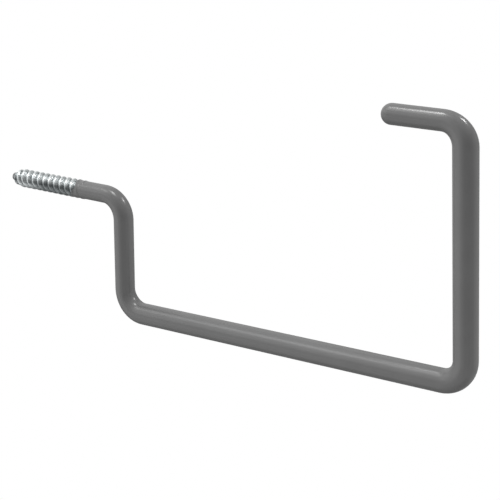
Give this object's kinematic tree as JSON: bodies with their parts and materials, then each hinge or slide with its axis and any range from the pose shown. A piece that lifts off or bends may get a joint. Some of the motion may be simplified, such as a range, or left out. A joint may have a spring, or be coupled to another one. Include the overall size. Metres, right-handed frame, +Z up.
{
  "type": "screw-in storage hook",
  "caption": "Screw-in storage hook of bent steel rod with a coarse wood thread, dipped in grey vinyl, with a long arm, a tall upright and a tip turned back towards the wall.",
  "frame": {"origin": "where the thread's axis meets the wall, at the lower edge of the coat's end", "axes": "+X out of the wall along the thread's axis, +Z up, the hook lies in the XZ plane"},
  "size_m": [0.264, 0.0108, 0.1251],
  "materials": {
    "zinc_plated_steel": "bright zinc plate, rolled thread",
    "grey_vinyl": "dipped vinyl, semi-gloss"
  },
  "bodies": {
    "root": {"steel_rod": "zinc_plated_steel", "vinyl_coat": "grey_vinyl"}
  },
  "joints": []
}
